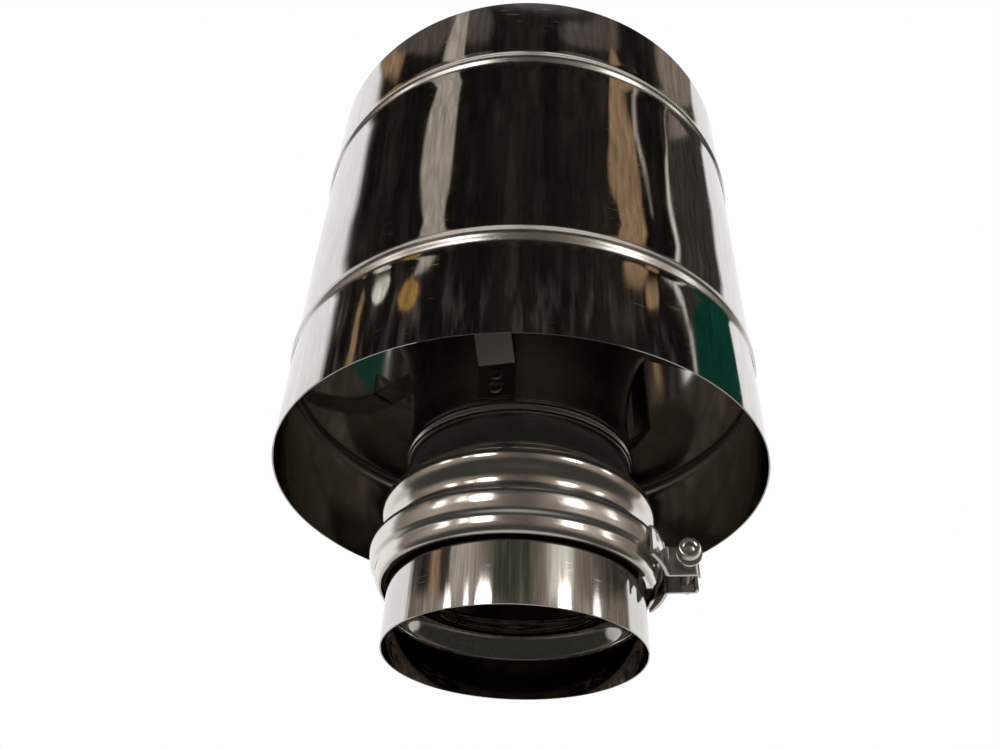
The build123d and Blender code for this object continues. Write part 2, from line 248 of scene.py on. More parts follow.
# Marks of the sheet: noise scales in repeats per metre, times the stretch where there is one, and the range of
# each noise that counts
sheetMarks = {
    "smudge": 21, "smudgeRange": (0.52, 0.74), "smudgeDulling": 0.16, "smudgeTint": (0.42, 0.4, 0.37, 1),
    "grainStretch": (260, 260, 7), "grain": 4, "grainRange": (0.3, 0.8), "grainRough": 0.35,
    "scratchStretch": (55, 55, 900), "scratchRange": (0.66, 0.72), "scratchRough": 0.05,
    "fineHeight": 0.00001, "buckle": 9, "buckleHeight": 0.002,
}


def sheetFinishGroup():
    # polished sheet: faint rolling marks, buffing haze, finger smudges and fine scratches
    group, start, end = newGroup("sheetFinish", [
        ("Tint", "NodeSocketColor", (0.66, 0.65, 0.63, 1)),
        ("Polish", "NodeSocketFloat", 0.05),
        ("Haze", "NodeSocketFloat", 0.06),
        ("Marks", "NodeSocketFloat", 0.3),
        ("Buckle", "NodeSocketFloat", 0.2),
    ], [("Color", "NodeSocketColor"), ("Roughness", "NodeSocketFloat"), ("Normal", "NodeSocketVector")])
    coords = group.nodes.new("ShaderNodeTexCoord").outputs["Object"]
    smudgeNoise = noise(group, coords, sheetMarks["smudge"], 4, 0.6)
    smudge = ranged(group, smudgeNoise, *sheetMarks["smudgeRange"], 0.0, 1.0)
    grain = noise(group, mapped(group, coords, sheetMarks["grainStretch"]), sheetMarks["grain"], 3, 0.6)
    scratchNoise = noise(group, mapped(group, coords, sheetMarks["scratchStretch"]), 1, 2, 0.7)
    scratch = ranged(group, scratchNoise, *sheetMarks["scratchRange"], 0.0, 1.0)
    buckle = noise(group, coords, sheetMarks["buckle"], 1.5, 0.4)
    haze = math2(group, "MULTIPLY", start.outputs["Haze"], smudge)
    grainHaze = ranged(group, grain, *sheetMarks["grainRange"], 0.0, sheetMarks["grainRough"])
    fine = math2(group, "MULTIPLY", start.outputs["Haze"], grainHaze)
    rough = math2(group, "ADD", start.outputs["Polish"], math2(group, "ADD", haze, fine))
    rough = math2(group, "ADD", rough, math2(group, "MULTIPLY", scratch, sheetMarks["scratchRough"]), clamp=True)
    dull = mixedColour(group, math2(group, "MULTIPLY", smudge, sheetMarks["smudgeDulling"]),
                       start.outputs["Tint"], sheetMarks["smudgeTint"])
    bumpFine = group.nodes.new("ShaderNodeBump")
    bumpFine.inputs["Distance"].default_value = sheetMarks["fineHeight"]
    group.links.new(math2(group, "ADD", grain, scratch), bumpFine.inputs["Height"])
    group.links.new(start.outputs["Marks"], bumpFine.inputs["Strength"])
    bumpSlow = group.nodes.new("ShaderNodeBump")
    bumpSlow.inputs["Distance"].default_value = sheetMarks["buckleHeight"]
    group.links.new(buckle, bumpSlow.inputs["Height"])
    group.links.new(start.outputs["Buckle"], bumpSlow.inputs["Strength"])
    group.links.new(bumpFine.outputs["Normal"], bumpSlow.inputs["Normal"])
    group.links.new(dull, end.inputs["Color"])
    group.links.new(rough, end.inputs["Roughness"])
    group.links.new(bumpSlow.outputs["Normal"], end.inputs["Normal"])
    return group


finishGroup = sheetFinishGroup()


def steel(name, finish):
    # steel of its own tint, polish and unevenness, through the shared finish group
    material = bpy.data.materials.new(name)
    material.use_nodes = True
    tree = material.node_tree
    shader = tree.nodes["Principled BSDF"]
    shader.inputs["Metallic"].default_value = finish.get("metallic", 1.0)
    sheet = tree.nodes.new("ShaderNodeGroup")
    sheet.node_tree = finishGroup
    sheet.inputs["Tint"].default_value = (*finish["tint"], 1)
    for label in ("Polish", "Haze", "Marks", "Buckle"):
        sheet.inputs[label].default_value = finish[label.lower()]
    for label, socket in (("Color", "Base Color"), ("Roughness", "Roughness"), ("Normal", "Normal")):
        tree.links.new(sheet.outputs[label], shader.inputs[socket])
    material.diffuse_color = (*finish["tint"], 1)
    return material


def roughened(material, makeMask, amount):
    # the finish's own roughness, and the amount more where the mask is 1
    tree = material.node_tree
    rough = tree.nodes["Principled BSDF"].inputs["Roughness"]
    own = rough.links[0].from_socket
    more = math2(tree, "MULTIPLY", makeMask(tree, tree.nodes.new("ShaderNodeTexCoord")), amount)
    tree.links.new(math2(tree, "ADD", own, more), rough)


def innerSide(tree, coords):
    # 1 on the wall that faces the axis: its normal and its place point opposite ways
    facing = tree.nodes.new("ShaderNodeVectorMath")
    facing.operation = "DOT_PRODUCT"
    flat = mapped(tree, coords.outputs["Object"], (1, 1, 0))
    tree.links.new(flat, facing.inputs[0])
    tree.links.new(coords.outputs["Normal"], facing.inputs[1])
    return math2(tree, "LESS_THAN", facing.outputs["Value"], 0)


def silicone(name, colour):
    # moulded silicone: dark, faintly dusty, with a fine moulded grain
    material = bpy.data.materials.new(name)
    material.use_nodes = True
    tree = material.node_tree
    shader = tree.nodes["Principled BSDF"]
    coords = tree.nodes.new("ShaderNodeTexCoord").outputs["Object"]
    dust = ranged(tree, noise(tree, coords, 60, 4, 0.6), 0.45, 0.8, 0.0, 0.5)
    tree.links.new(mixedColour(tree, dust, (*colour, 1), (0.2, 0.19, 0.18, 1)), shader.inputs["Base Color"])
    tree.links.new(ranged(tree, dust, 0.0, 0.5, 0.42, 0.7), shader.inputs["Roughness"])
    bump = tree.nodes.new("ShaderNodeBump")
    bump.inputs["Distance"].default_value = 0.00004
    tree.links.new(noise(tree, coords, 900, 2), bump.inputs["Height"])
    tree.links.new(bump.outputs["Normal"], shader.inputs["Normal"])
    return material


def dress(piece, material):
    piece.data.materials.clear()
    piece.data.materials.append(material)


def dressNode(node, material):
    # a CAD node keeps its mesh and takes the material in its own slots
    if not node.material_slots:
        node.data.materials.append(material)
    for place in node.material_slots:
        place.link = "OBJECT"
        place.material = material


# Finishes: tint, roughness of the polish, haze of the buffing, strength of the fine marks and of the slow
# buckling, and how much of it is metal, if that isn't all
finishes = {
    "shell": {"tint": (0.66, 0.64, 0.61), "polish": 0.035, "haze": 0.05, "marks": 0.25, "buckle": 0.1},
    "pipe": {"tint": (0.67, 0.65, 0.62), "polish": 0.045, "haze": 0.06, "marks": 0.25, "buckle": 0.12},
    "collar": {"tint": (0.74, 0.69, 0.64), "polish": 0.12, "haze": 0.10, "marks": 0.35, "buckle": 0.12,
               "metallic": 0.97},
    "cone": {"tint": (0.60, 0.58, 0.55), "polish": 0.20, "haze": 0.12, "marks": 0.35, "buckle": 0.12},
    "band": {"tint": (0.77, 0.73, 0.69), "polish": 0.13, "haze": 0.12, "marks": 0.4, "buckle": 0.1,
             "metallic": 0.96},
    # strap steel is tinted far darker than the other steel: painted shade for the legs and arms inside the shell
    "strap": {"tint": (0.27, 0.25, 0.225), "polish": 0.2, "haze": 0.14, "marks": 0.6, "buckle": 0.1},
    "ear": {"tint": (0.80, 0.77, 0.74), "polish": 0.07, "haze": 0.12, "marks": 0.4, "buckle": 0.9,
            "metallic": 0.92},
    "screw": {"tint": (0.74, 0.71, 0.67), "polish": 0.13, "haze": 0.14, "marks": 0.5, "buckle": 0.05,
              "metallic": 0.94},
    "rivet": {"tint": (0.58, 0.57, 0.55), "polish": 0.18, "haze": 0.16, "marks": 0.5, "buckle": 0.05},
}
steels = {name: steel(name + "Steel", finish) for name, finish in finishes.items()}
sealRubber = silicone("sealRubber", (0.035, 0.034, 0.033))
print("materials made:", len(bpy.data.materials))

# Sheet pieces, in millimetres. Heights are from the connector's lower rim.

shell = {"radius": 124.3, "wall": 0.7, "low": 86.6, "high": 332.0,
         "beads": [(144.0, 11.0, 1.2), (278.2, 11.0, 1.2)], "unevenness": 0.16,
         "dullInside": 0.06, "dullBeads": 0.2}
shellLine = beadedLine(shell["radius"], shell["low"], shell["high"], shell["beads"])
outerShell = meshPiece(
    "outerShell", [lathe(wallLoop(shellLine, shell["wall"]), 320, amount=shell["unevenness"], seed=4)],
    "deflector", replaces=["outer_shell"],
)
dress(outerShell, steels["shell"])


def beadRolls(tree, coords):
    # 1 on the shell's two rolled beads, where the rolls leave the polish duller
    parts = tree.nodes.new("ShaderNodeSeparateXYZ")
    tree.links.new(coords.outputs["Object"], parts.inputs[0])
    masks = []
    for level, width, _ in shell["beads"]:
        away = math2(tree, "ABSOLUTE", math2(tree, "SUBTRACT", parts.outputs["Z"], level * mm))
        masks.append(ranged(tree, away, 0.35 * width * mm, 0.6 * width * mm, 1.0, 0.0))
    return math2(tree, "MAXIMUM", *masks)


roughened(steels["shell"], innerSide, shell["dullInside"])
roughened(steels["shell"], beadRolls, shell["dullBeads"])

connector = {"radius": 60.6, "wall": 0.6, "high": 73.0, "beads": [(35.5, 11.0, 4.8)], "unevenness": 0.05}
connectorLine = beadedLine(connector["radius"], 0, connector["high"], connector["beads"])
connectorPipe = meshPiece(
    "connectorPipe", [lathe(wallLoop(connectorLine, connector["wall"]), amount=connector["unevenness"], seed=9)],
    "connector", replaces=["connector_pipe"],
)
dress(connectorPipe, steels["pipe"])

inlet = {"mouth": 59.6, "radius": 56.4, "throat": 54.0, "wall": 0.6, "low": 20.0, "throatLevel": 31.0,
         "wallLevel": 40.0, "high": 120.1}
mouthRise, throatRise = inlet["throatLevel"] - inlet["low"], inlet["wallLevel"] - inlet["throatLevel"]
inletLine = joined(
    bezier([(inlet["mouth"], inlet["low"]), (inlet["mouth"] - 0.6, inlet["low"] + mouthRise / 4),
            (inlet["throat"], inlet["throatLevel"] - mouthRise / 3), (inlet["throat"], inlet["throatLevel"])], 14),
    bezier([(inlet["throat"], inlet["throatLevel"]), (inlet["throat"], inlet["throatLevel"] + throatRise / 2),
            (inlet["radius"], inlet["wallLevel"] - throatRise / 2), (inlet["radius"], inlet["wallLevel"])], 12),
    straight((inlet["radius"], inlet["wallLevel"]), (inlet["radius"], inlet["high"]), 12),
)
inletPipe = meshPiece(
    "inletPipe", [lathe(wallLoop(inletLine, inlet["wall"]))],
    "deflector", replaces=["inlet_pipe"],
)
dress(inletPipe, steels["pipe"])

collar = {"radius": 61.6, "wall": 0.6, "lip": 7.3, "low": 44.7, "crest": 67.2, "level": 67.5, "half": 12.0,
          "neck": 57.05, "high": 92.5}
beadFoot, neckLevel, ease = collar["level"] - collar["half"], collar["level"] + collar["half"], collar["half"] / 2
lipTop = collar["low"] + collar["lip"]
collarLine = joined(
    straight((collar["radius"] + collar["lip"], collar["low"]), (collar["radius"], lipTop), 4),
    straight((collar["radius"], lipTop), (collar["radius"], beadFoot), 4),
    bezier([(collar["radius"], beadFoot), (collar["radius"], beadFoot + ease),
            (collar["crest"], collar["level"] - ease), (collar["crest"], collar["level"])], 16),
    bezier([(collar["crest"], collar["level"]), (collar["crest"], collar["level"] + ease),
            (collar["neck"], neckLevel - ease), (collar["neck"], neckLevel)], 22),
    straight((collar["neck"], neckLevel), (collar["neck"], collar["high"]), 5),
)
socketCollar = meshPiece(
    "socketCollar", [lathe(wallLoop(collarLine, collar["wall"]), amount=0.03, seed=12)],
    "deflector", replaces=["socket_collar"],
)
dress(socketCollar, steels["collar"])

cone = {"sleeve": 57.05, "wall": 0.6, "low": 95.5, "bead": (99.6, 7.0, 1.6), "flareLevel": 119.5, "mouth": 72.0,
        "high": 182.5}
flareRise, flareOut = cone["high"] - cone["flareLevel"], cone["mouth"] - cone["sleeve"]
flareRadius = (flareRise ** 2 + flareOut ** 2) / (2 * flareOut)
flareTurn = np.linspace(0, math.asin(flareRise / flareRadius), 24)
flareArc = np.stack([cone["sleeve"] + flareRadius * (1 - np.cos(flareTurn)),
                     cone["flareLevel"] + flareRadius * np.sin(flareTurn)], -1)
diffuserLine = joined(beadedLine(cone["sleeve"], cone["low"], cone["flareLevel"], [cone["bead"]], 5), flareArc)
diffuserPipe = meshPiece(
    "diffuserPipe", [lathe(wallLoop(diffuserLine, cone["wall"]), amount=0.04, seed=15)],
    "deflector", replaces=["diffuser"],
)
dress(diffuserPipe, steels["cone"])
print("pipes and shell made")

cap = {"radius": 92.0, "wall": 0.6, "drip": 229.5, "rim": 236.5, "apex": 270.5, "round": 2.1}
under = {"radius": 91.35, "wall": 0.6, "hem": 234.1, "rim": 230.1, "tip": 204.1, "round": 1.0}


def rounded(corners, radius, steps=8):
    # run of straight lines whose inner corners become arcs: each arc is a curve from one run to the next
    # that leaves both runs at the tangent length of the radius
    parts = [np.array([corners[0]], float)]
    for before, corner, after in zip(corners, corners[1:], corners[2:]):
        before, corner, after = (np.array(point, float) for point in (before, corner, after))
        back, ahead = (before - corner), (after - corner)
        back, ahead = back / np.linalg.norm(back), ahead / np.linalg.norm(ahead)
        half = math.acos(np.clip(back @ ahead, -1, 1)) / 2
        reach = radius / math.tan(half)
        pull = reach * (1 - 4 / 3 * math.tan((math.pi / 2 - half) / 2) * math.tan(half))
        parts.append(bezier([corner + back * reach, corner + back * pull, corner + ahead * pull,
                             corner + ahead * reach], steps))
    parts.append(np.array([corners[-1]], float))
    return joined(*parts)


def spread(line, most):
    # the same line with extra points, so that no run is longer than the given length
    parts = []
    for start, end in zip(line, line[1:]):
        count = max(1, math.ceil(np.linalg.norm(end - start) / most))
        parts.append(straight(start, end, count + 1))
    return joined(*parts)


def coneLoop(outer, inner, most=6.0):
    # closed outline of a cone's sheet: its outer line to the axis, then its inner line back to the rim
    return np.concatenate([spread(outer, most), spread(inner, most)])


capSlope = (cap["apex"] - cap["rim"]) / cap["radius"]
capSlant = cap["wall"] * math.hypot(1, capSlope)
capInside = cap["rim"] - capSlant + cap["wall"] * capSlope
capLoop = coneLoop(
    rounded([(cap["radius"], cap["drip"]), (cap["radius"], cap["rim"]), (0, cap["apex"])], cap["round"]),
    rounded([(0, cap["apex"] - capSlant), (cap["radius"] - cap["wall"], capInside),
             (cap["radius"] - cap["wall"], cap["drip"])], cap["round"] - cap["wall"]),
)
rainCap = meshPiece("rainCap", [lathe(capLoop, 192)], "deflector", replaces=["rain_cap"])
dress(rainCap, steels["cone"])

underSlope = (under["rim"] - under["tip"]) / under["radius"]
underSlant = under["wall"] * math.hypot(1, underSlope)
underInside = under["rim"] + underSlant - under["wall"] * underSlope
underLoop = coneLoop(
    rounded([(0, under["tip"]), (under["radius"], under["rim"]), (under["radius"], under["hem"])], under["round"]),
    rounded([(under["radius"] - under["wall"], under["hem"]), (under["radius"] - under["wall"], underInside),
             (0, under["tip"] + underSlant)], under["round"] - under["wall"]),
)
underCone = meshPiece("underCone", [lathe(underLoop, 192)], "deflector",
                      replaces=["cap_under_cone"])
dress(underCone, steels["cone"])

seal = {"radius": 61.0, "bead": (67.5, 10.0, 5.0), "lips": 3, "lipDepth": 0.45}
sealOuter = beadLine(seal["radius"], *seal["bead"], steps=14)
sealDown = np.linspace(sealOuter[-1][1], sealOuter[0][1], 60)[1:-1]
sealPhase = (sealDown - sealOuter[0][1]) / seal["bead"][1]
sealInner = np.stack([seal["radius"] + seal["lipDepth"] * np.abs(np.sin(np.pi * seal["lips"] * sealPhase)),
                      sealDown], -1)
sealRing = meshPiece("sealRing", [lathe(np.concatenate([sealOuter, sealInner]), 160)], "deflector",
                     sharp=50, replaces=["seal_ring"])
dress(sealRing, sealRubber)

# Locking band and its closure

closure = {"azimuth": -7.0, "reach": 80.55, "level": 40.6, "halfGap": 9.0}
band = {"wall": 1.0, "edge": 64.3, "low": 29.3, "ridge": 67.0, "ridgeLevel": 35.5, "step": 69.4,
        "stepLevel": 39.0, "upper": 70.5, "upperLevel": 45.7, "top": 64.2, "high": 52.3}
edgeRise, stepEase = band["ridgeLevel"] - band["low"], 0.4 * (band["stepLevel"] - band["ridgeLevel"])
highRise, highEase = band["upperLevel"] - band["stepLevel"], (band["high"] - band["upperLevel"]) / 2
bandLine = joined(
    bezier([(band["edge"], band["low"]), (band["edge"] + edgeRise / 4, band["low"] + edgeRise / 6),
            (band["ridge"], band["ridgeLevel"] - edgeRise / 2), (band["ridge"], band["ridgeLevel"])], 12),
    bezier([(band["ridge"], band["ridgeLevel"]), (band["ridge"], band["ridgeLevel"] + stepEase),
            (band["step"] - stepEase / 4, band["stepLevel"] - stepEase), (band["step"], band["stepLevel"])], 10),
    bezier([(band["step"], band["stepLevel"]), (band["step"] + highRise / 16, band["stepLevel"] + highRise / 4),
            (band["upper"], band["upperLevel"] - highRise * 0.6), (band["upper"], band["upperLevel"])], 12),
    bezier([(band["upper"], band["upperLevel"]), (band["upper"], band["upperLevel"] + highEase),
            (band["top"] + highEase / 2, band["high"] - highEase / 2), (band["top"], band["high"])], 14),
)
bandHalf = math.asin(closure["halfGap"] / band["upper"])
bandGrid = lathe(wallLoop(bandLine, band["wall"]), 300, start=math.radians(closure["azimuth"]) + bandHalf,
                 sweep=2 * math.pi - 2 * bandHalf)
clampBand = meshPiece("clampBand", [bandGrid], "clamp", wrapColumns=False, capEnds=True,
                      replaces=["clamp_band"])
dress(clampBand, steels["band"])

closureOut, closureAlong = direction(closure["azimuth"]), direction(closure["azimuth"] - 90)
closureMiddle = closure["reach"] * closureOut + np.array([0, 0, closure["level"]])
closureFrame = (closureMiddle, closureOut, np.array([0, 0, 1.0]), closureAlong)


def turned(radii, levels):
    # rows of a turned or milled form: row i holds radius i, a number or a radius for each angle, at level i
    angle = np.linspace(0, 2 * np.pi, radii.shape[1], endpoint=False)[None, :]
    height = np.repeat(np.array(levels, float)[:, None], radii.shape[1], axis=1)
    return np.stack([radii * np.cos(angle), radii * np.sin(angle), height], -1)


def hexagon(flats, columns, turn=0.0):
    # radius of a hexagon at each angle: half the flats over the cosine of the angle to the nearest flat
    angle = np.linspace(0, 2 * np.pi, columns, endpoint=False) + turn
    return flats / 2 / np.cos((angle + np.pi / 6) % (np.pi / 3) - np.pi / 6)


def ring(radius, columns):
    return np.full(columns, float(radius))


screw = {"head": 5.0, "headHigh": 24.2, "headLow": 18.2, "socket": 5.0, "socketDepth": 3.2, "knurls": 40,
         "shank": 3.0, "tip": -16.8, "threadTop": 7.0, "pitch": 1.0, "threadDepth": 0.55, "threadRow": 0.125,
         "threadEnd": 0.7, "threadRunOut": 1.5}
headColumns = screw["knurls"] * 6
knurlTurn = np.linspace(0, 2 * np.pi * screw["knurls"], headColumns, endpoint=False)
knurl = screw["head"] - 0.16 * (0.5 - 0.5 * np.cos(knurlTurn)) ** 0.6
socketWall = hexagon(screw["socket"], headColumns, np.pi / 6)
headRows = [
    (ring(0, headColumns), screw["headHigh"] - screw["socketDepth"] - 0.9),
    (ring(2.2, headColumns), screw["headHigh"] - screw["socketDepth"]),
    (socketWall, screw["headHigh"] - screw["socketDepth"]),
    (socketWall, screw["headHigh"] - 0.3),
    (ring(3.05, headColumns), screw["headHigh"]),
    (ring(3.8, headColumns), screw["headHigh"]),
    (ring(screw["head"] - 0.55, headColumns), screw["headHigh"]),
    (ring(screw["head"] - 0.3, headColumns), screw["headHigh"] - 0.12),
    (ring(screw["head"] - 0.16, headColumns), screw["headHigh"] - 0.45),
    (knurl, screw["headHigh"] - 0.7),
    (knurl, screw["headLow"] + 1.0),
    (ring(screw["head"] - 0.14, headColumns), screw["headLow"] + 0.8),
    (ring(screw["head"] - 0.12, headColumns), screw["headLow"] + 0.15),
    (ring(screw["head"] - 0.3, headColumns), screw["headLow"]),
    (ring(2.4, headColumns), screw["headLow"]),
    (ring(0, headColumns), screw["headLow"] + 0.5),
]
headGrid = turned(np.array([row[0] for row in headRows]), [row[1] for row in headRows])

# thread: the radius falls with the distance from the crest of a helix, which climbs one pitch each turn
shankColumns = 48
threadLevels = np.arange(screw["threadTop"], screw["tip"] + screw["threadEnd"], -screw["threadRow"])
shankAngle = np.linspace(0, 2 * np.pi, shankColumns, endpoint=False)[None, :]
climb = (threadLevels[:, None] / screw["pitch"] - shankAngle / (2 * np.pi)) % 1
runOut = np.clip((screw["threadTop"] - threadLevels) / screw["threadRunOut"], 0, 1)[:, None]
groove = np.clip(1.25 * (1 - np.abs(2 * climb - 1)) - 0.12, 0, 1)
threadRadii = screw["shank"] - screw["threadDepth"] * runOut * groove
plainShank = ring(screw["shank"] - 0.05, shankColumns)
shankRows = [(ring(0, shankColumns), screw["headLow"] + 0.6), (plainShank, screw["headLow"] + 0.6),
             (plainShank, screw["threadTop"] + 0.2)]
shankEnd = [(threadRadii[-1] - 0.2, screw["tip"] + 0.45), (ring(2.35, shankColumns), screw["tip"]),
            (ring(0, shankColumns), screw["tip"])]
shankGrid = turned(np.concatenate([[row[0] for row in shankRows], threadRadii, [row[0] for row in shankEnd]]),
                   [row[1] for row in shankRows] + list(threadLevels) + [row[1] for row in shankEnd])
socketScrew = meshPiece("socketScrew", [placed(headGrid, *closureFrame), placed(shankGrid, *closureFrame)], "screw",
                        wrapRows=False, sharp=38, replaces=["clamp_screw"])
dress(socketScrew, steels["screw"])

washer = {"outer": 6.0, "inner": 3.175, "low": 16.5, "high": 18.1, "ease": 0.2}
washerColumns = 96
washerOutline = rounded([(4.5, washer["low"]), (washer["outer"], washer["low"]), (washer["outer"], washer["high"]),
                         (washer["inner"], washer["high"]), (washer["inner"], washer["low"]),
                         (4.4, washer["low"])], washer["ease"], 4)
washerGrid = turned(np.repeat(washerOutline[:, :1], washerColumns, axis=1), washerOutline[:, 1])
plainWasher = meshPiece("plainWasher", [placed(washerGrid, *closureFrame)], "screw_washer",
                        sharp=60, replaces=["clamp_washer"])
dress(plainWasher, steels["screw"])

nut = {"flats": 10.0, "bore": 3.06, "high": -10.55, "thickness": 5.0, "land": 4.72, "cornerSlope": 1.73}
nutColumns = 144
nutHex = hexagon(nut["flats"], nutColumns)
cut = np.array([0.0, 0.12, 0.25, 0.4, 0.6])
nutLow = nut["high"] - nut["thickness"]
cutRadii = [np.minimum(nutHex, nut["land"] + depth * nut["cornerSlope"]) for depth in cut]
nutRows = [(ring(nut["bore"], nutColumns), nut["high"] - 0.5), (ring(nut["bore"] + 0.45, nutColumns), nut["high"])]
nutRows += [(radii, nut["high"] - depth) for radii, depth in zip(cutRadii, cut)]
nutRows += [(radii, nutLow + depth) for radii, depth in zip(cutRadii[::-1], cut[::-1])]
nutRows += [(ring(nut["bore"] + 0.45, nutColumns), nutLow), (ring(nut["bore"], nutColumns), nutLow + 0.5)]
nutGrid = turned(np.array([row[0] for row in nutRows]), [row[1] for row in nutRows])
hexNut = meshPiece("hexNut", [placed(nutGrid, *closureFrame)], "clamp", sharp=30,
                   replaces=["clamp_nut"])
dress(hexNut, steels["screw"])
print("band and closure made")

# Rivets and weld marks

rivets = {"head": 3.6, "headHeight": 1.3, "shank": 2.0, "tail": 2.8, "tailHeight": 1.0}
# Where the heads of the rivets sit and how much sheet they grip
footPlace = {"radius": 58.3, "levels": (109.2, 117.2), "grip": 2.62}
armPlace = {"radius": 74.5, "level": 209.25, "grip": 2.45}
capPlace = {"radius": 77.45, "tab": 1.25, "grip": 1.9}
legAzimuths = [-102.0, 18.0, 138.0]
headTurn = np.linspace(0, np.pi / 2, 9)
tailTurn = np.linspace(0, np.pi / 2, 5)


def rivetGrid(origin, xAxis, zAxis, grip, columns=32):
    # domed head on the seat, shank through the grip, and a flatter formed tail with a round edge
    domeLevels = rivets["headHeight"] * (0.12 + 0.88 * np.cos(headTurn))
    dome = np.stack([rivets["head"] * np.sin(headTurn), domeLevels], -1)
    tail = np.stack([rivets["tail"] - 0.5 + 0.5 * np.cos(tailTurn), -grip - rivets["tailHeight"] + 0.5
                     - 0.5 * np.sin(tailTurn)], -1)
    outline = np.concatenate([dome, [(rivets["head"], 0), (rivets["shank"], 0), (rivets["shank"], -grip),
                                     (rivets["tail"], -grip)], tail, [(0, -grip - rivets["tailHeight"])]])
    grid = turned(np.repeat(outline[:, :1], columns, axis=1), outline[:, 1])
    return placed(grid, origin, xAxis, np.cross(zAxis, xAxis), zAxis)


footGrids = [rivetGrid(footPlace["radius"] * direction(azimuth) + np.array([0, 0, level]),
                       direction(azimuth + 90), direction(azimuth), footPlace["grip"])
             for azimuth in legAzimuths for level in footPlace["levels"]]
armGrids = [rivetGrid(armPlace["radius"] * direction(azimuth) + np.array([0, 0, armPlace["level"]]),
                      direction(azimuth + 90), direction(azimuth), armPlace["grip"]) for azimuth in legAzimuths]
lean = math.atan(underSlope)
capGrids = []
for azimuth in legAzimuths:
    down = direction(azimuth) * math.sin(lean) - np.array([0, 0, math.cos(lean)])
    onCone = capPlace["radius"] * direction(azimuth)
    onCone[2] = under["tip"] + underSlope * capPlace["radius"]
    capGrids.append(rivetGrid(onCone + capPlace["tab"] * down, direction(azimuth + 90), down, capPlace["grip"]))
for name, grids, node in (("footRivets", footGrids, "foot_rivets"), ("armRivets", armGrids, "arm_rivets"),
                          ("capRivets", capGrids, "cap_rivets")):
    piece = meshPiece(name, grids, "deflector", wrapRows=False, sharp=50, replaces=[node])
    dress(piece, steels["rivet"])

marks = {"outline": [(0, 0.03), (1.0, 0.03), (1.5, 0.08), (1.9, 0.1), (2.15, 0.06), (2.3, -0.05), (0, -0.05)],
         "armRadius": 122.09, "armLevel": 209.5, "armSides": (-4, 4),
         "earRadius": 72.05, "earTurns": (-22.5, -15.5, 15.5, 22.5), "earRises": (-3.5, 3.5)}
markOutline = np.array(marks["outline"])


def markGrid(origin, xAxis, zAxis, columns=24):
    # spot weld: a round print with a raised lip, a tenth of a millimetre high
    grid = turned(np.repeat(markOutline[:, :1], columns, axis=1), markOutline[:, 1])
    return placed(grid, origin, xAxis, np.cross(zAxis, xAxis), zAxis)


armMarks = [markGrid(marks["armRadius"] * direction(azimuth) + side * direction(azimuth + 90)
                     + np.array([0, 0, marks["armLevel"]]), direction(azimuth + 90), -direction(azimuth))
            for azimuth in legAzimuths for side in marks["armSides"]]
earMarks = [markGrid(marks["earRadius"] * direction(closure["azimuth"] + turn)
                     + np.array([0, 0, closure["level"] + rise]),
                     direction(closure["azimuth"] + turn + 90), direction(closure["azimuth"] + turn))
            for turn in marks["earTurns"] for rise in marks["earRises"]]
for name, grids, body in (("armWeldMarks", armMarks, "deflector"), ("earWeldMarks", earMarks, "clamp")):
    dress(meshPiece(name, grids, body, wrapRows=False, sharp=60), steels["rivet"])

# The legs, arms and ears keep their CAD shape and take only a finish; the legs and arms take the darkened strap
# steel, which is painted shade
for name in ("leg_front", "leg_right", "leg_left", "shell_arm_front", "shell_arm_right", "shell_arm_left"):
    dressNode(nodes[name], steels["strap"])
for name in ("clamp_ear_front", "clamp_ear_rear"):
    dressNode(nodes[name], steels["ear"])
print("rivets, weld marks and straps made")

# Floor, world, lamps and camera

stageSet = {"floorRadius": 1.1, "floorSides": 96, "floorColour": 0.82, "fadeFrom": 0.55, "fadeTo": 1.05}
floorTurn = np.linspace(0, 2 * np.pi, stageSet["floorSides"], endpoint=False)
floorRim = np.stack([np.cos(floorTurn), np.sin(floorTurn), 0 * floorTurn], -1) * stageSet["floorRadius"]
floorMesh = bpy.data.meshes.new("floor")
floorMesh.from_pydata(floorRim.tolist(), [], [list(range(stageSet["floorSides"]))])
floor = bpy.data.objects.new("floor", floorMesh)
bpy.context.scene.collection.objects.link(floor)
floorPaint = bpy.data.materials.new("floorPaint")
floorPaint.use_nodes = True
tree = floorPaint.node_tree
paint = tree.nodes["Principled BSDF"]
paint.inputs["Base Color"].default_value = (stageSet["floorColour"],) * 3 + (1,)
paint.inputs["Roughness"].default_value = 0.9
paint.inputs["Specular IOR Level"].default_value = 0.1
clear = tree.nodes.new("ShaderNodeBsdfTransparent")
blendIn = tree.nodes.new("ShaderNodeMixShader")
distance = tree.nodes.new("ShaderNodeVectorMath")
distance.operation = "LENGTH"
tree.links.new(tree.nodes.new("ShaderNodeTexCoord").outputs["Object"], distance.inputs[0])
fade = ranged(tree, distance.outputs["Value"], stageSet["fadeFrom"], stageSet["fadeTo"], 0.0, 1.0)
back = tree.nodes.new("ShaderNodeNewGeometry").outputs["Backfacing"]
mirrorRay = tree.nodes.new("ShaderNodeLightPath").outputs["Is Glossy Ray"]
tree.links.new(math2(tree, "MAXIMUM", math2(tree, "MAXIMUM", fade, back), mirrorRay), blendIn.inputs[0])
tree.links.new(paint.outputs["BSDF"], blendIn.inputs[1])
tree.links.new(clear.outputs["BSDF"], blendIn.inputs[2])
tree.links.new(blendIn.outputs["Shader"], tree.nodes["Material Output"].inputs["Surface"])
dress(floor, floorPaint)

